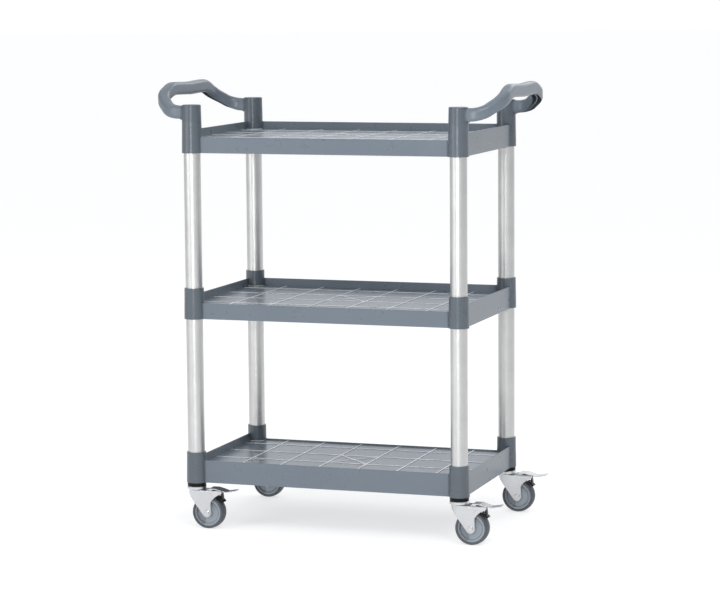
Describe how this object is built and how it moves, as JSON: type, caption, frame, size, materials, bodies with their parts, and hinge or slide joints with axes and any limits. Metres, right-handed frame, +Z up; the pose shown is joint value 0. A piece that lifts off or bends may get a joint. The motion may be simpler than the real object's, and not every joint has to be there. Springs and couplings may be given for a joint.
{
  "type": "food service trolley",
  "caption": "Three-tier service trolley with moulded grey trays, aluminium tube posts, raised end handles and braked swivel casters.",
  "frame": {"origin": "on the floor, midway between the four posts", "axes": "+X along the trolley towards its right handle, -Y towards its loading side with the low lips of the upper two trays, +Z up"},
  "size_m": [0.826, 0.432, 1.0095],
  "materials": {
    "tray_plastic": "moulded polypropylene, satin",
    "handle_plastic": "moulded polypropylene, satin",
    "post_aluminium": "satin anodised",
    "insert_black": "nylon, satin",
    "zinc_plate": "bright zinc plate",
    "bearing_steel": "hardened steel, oiled",
    "hub_plastic": "moulded polypropylene",
    "tyre_rubber": "grey thermoplastic rubber",
    "brake_black": "black nylon"
  },
  "bodies": {
    "chassis": {"lower_tray": "tray_plastic", "middle_tray": "tray_plastic", "upper_tray": "tray_plastic", "lower_post_front_left": "post_aluminium", "lower_post_front_right": "post_aluminium", "lower_post_rear_left": "post_aluminium", "lower_post_rear_right": "post_aluminium", "upper_post_front_left": "post_aluminium", "upper_post_front_right": "post_aluminium", "upper_post_rear_left": "post_aluminium", "upper_post_rear_right": "post_aluminium", "left_handle": "handle_plastic", "right_handle": "handle_plastic", "caster_inserts": "insert_black", "caster_stems": "zinc_plate"},
    "front_left_swivel": {"front_left_fork": "zinc_plate", "front_left_race_balls": "bearing_steel", "front_left_axle_bolt": "zinc_plate", "front_left_axle_nut": "zinc_plate", "front_left_axle_sleeve": "bearing_steel", "front_left_brake_pin": "zinc_plate", "front_left_brake_spring": "bearing_steel"},
    "front_left_wheel": {"front_left_wheel_hub": "hub_plastic", "front_left_tyre": "tyre_rubber"},
    "front_left_brake": {"front_left_brake_pedal": "zinc_plate", "front_left_brake_shoe": "brake_black"},
    "front_right_swivel": {"front_right_fork": "zinc_plate", "front_right_race_balls": "bearing_steel", "front_right_axle_bolt": "zinc_plate", "front_right_axle_nut": "zinc_plate", "front_right_axle_sleeve": "bearing_steel", "front_right_brake_pin": "zinc_plate", "front_right_brake_spring": "bearing_steel"},
    "front_right_wheel": {"front_right_wheel_hub": "hub_plastic", "front_right_tyre": "tyre_rubber"},
    "front_right_brake": {"front_right_brake_pedal": "zinc_plate", "front_right_brake_shoe": "brake_black"},
    "rear_left_swivel": {"rear_left_fork": "zinc_plate", "rear_left_race_balls": "bearing_steel", "rear_left_axle_bolt": "zinc_plate", "rear_left_axle_nut": "zinc_plate", "rear_left_axle_sleeve": "bearing_steel", "rear_left_brake_pin": "zinc_plate", "rear_left_brake_spring": "bearing_steel"},
    "rear_left_wheel": {"rear_left_wheel_hub": "hub_plastic", "rear_left_tyre": "tyre_rubber"},
    "rear_left_brake": {"rear_left_brake_pedal": "zinc_plate", "rear_left_brake_shoe": "brake_black"},
    "rear_right_swivel": {"rear_right_fork": "zinc_plate", "rear_right_race_balls": "bearing_steel", "rear_right_axle_bolt": "zinc_plate", "rear_right_axle_nut": "zinc_plate", "rear_right_axle_sleeve": "bearing_steel", "rear_right_brake_pin": "zinc_plate", "rear_right_brake_spring": "bearing_steel"},
    "rear_right_wheel": {"rear_right_wheel_hub": "hub_plastic", "rear_right_tyre": "tyre_rubber"},
    "rear_right_brake": {"rear_right_brake_pedal": "zinc_plate", "rear_right_brake_shoe": "brake_black"}
  },
  "joints": [
    {"name": "front_left_swivel_turn", "type": "hinge", "parent": "chassis", "child": "front_left_swivel", "pos_m": [-0.312, -0.193, 0.09], "axis": [0, 0, 1], "continuous": true},
    {"name": "front_left_wheel_spin", "type": "hinge", "parent": "front_left_swivel", "child": "front_left_wheel", "pos_m": [-0.282, -0.193, 0.0375], "axis": [0, 1, 0], "continuous": true},
    {"name": "front_left_brake_press", "type": "hinge", "parent": "front_left_swivel", "child": "front_left_brake", "pos_m": [-0.274, -0.193, 0.07914], "axis": [0, 1, 0], "range_deg": [0, 8]},
    {"name": "front_right_swivel_turn", "type": "hinge", "parent": "chassis", "child": "front_right_swivel", "pos_m": [0.312, -0.193, 0.09], "axis": [0, 0, 1], "continuous": true},
    {"name": "front_right_wheel_spin", "type": "hinge", "parent": "front_right_swivel", "child": "front_right_wheel", "pos_m": [0.342, -0.193, 0.0375], "axis": [0, 1, 0], "continuous": true},
    {"name": "front_right_brake_press", "type": "hinge", "parent": "front_right_swivel", "child": "front_right_brake", "pos_m": [0.35, -0.193, 0.07914], "axis": [0, 1, 0], "range_deg": [0, 8]},
    {"name": "rear_left_swivel_turn", "type": "hinge", "parent": "chassis", "child": "rear_left_swivel", "pos_m": [-0.312, 0.193, 0.09], "axis": [0, 0, 1], "continuous": true},
    {"name": "rear_left_wheel_spin", "type": "hinge", "parent": "rear_left_swivel", "child": "rear_left_wheel", "pos_m": [-0.282, 0.193, 0.0375], "axis": [0, 1, 0], "continuous": true},
    {"name": "rear_left_brake_press", "type": "hinge", "parent": "rear_left_swivel", "child": "rear_left_brake", "pos_m": [-0.274, 0.193, 0.07914], "axis": [0, 1, 0], "range_deg": [0, 8]},
    {"name": "rear_right_swivel_turn", "type": "hinge", "parent": "chassis", "child": "rear_right_swivel", "pos_m": [0.312, 0.193, 0.09], "axis": [0, 0, 1], "continuous": true},
    {"name": "rear_right_wheel_spin", "type": "hinge", "parent": "rear_right_swivel", "child": "rear_right_wheel", "pos_m": [0.342, 0.193, 0.0375], "axis": [0, 1, 0], "continuous": true},
    {"name": "rear_right_brake_press", "type": "hinge", "parent": "rear_right_swivel", "child": "rear_right_brake", "pos_m": [0.35, 0.193, 0.07914], "axis": [0, 1, 0], "range_deg": [0, 8]}
  ]
}
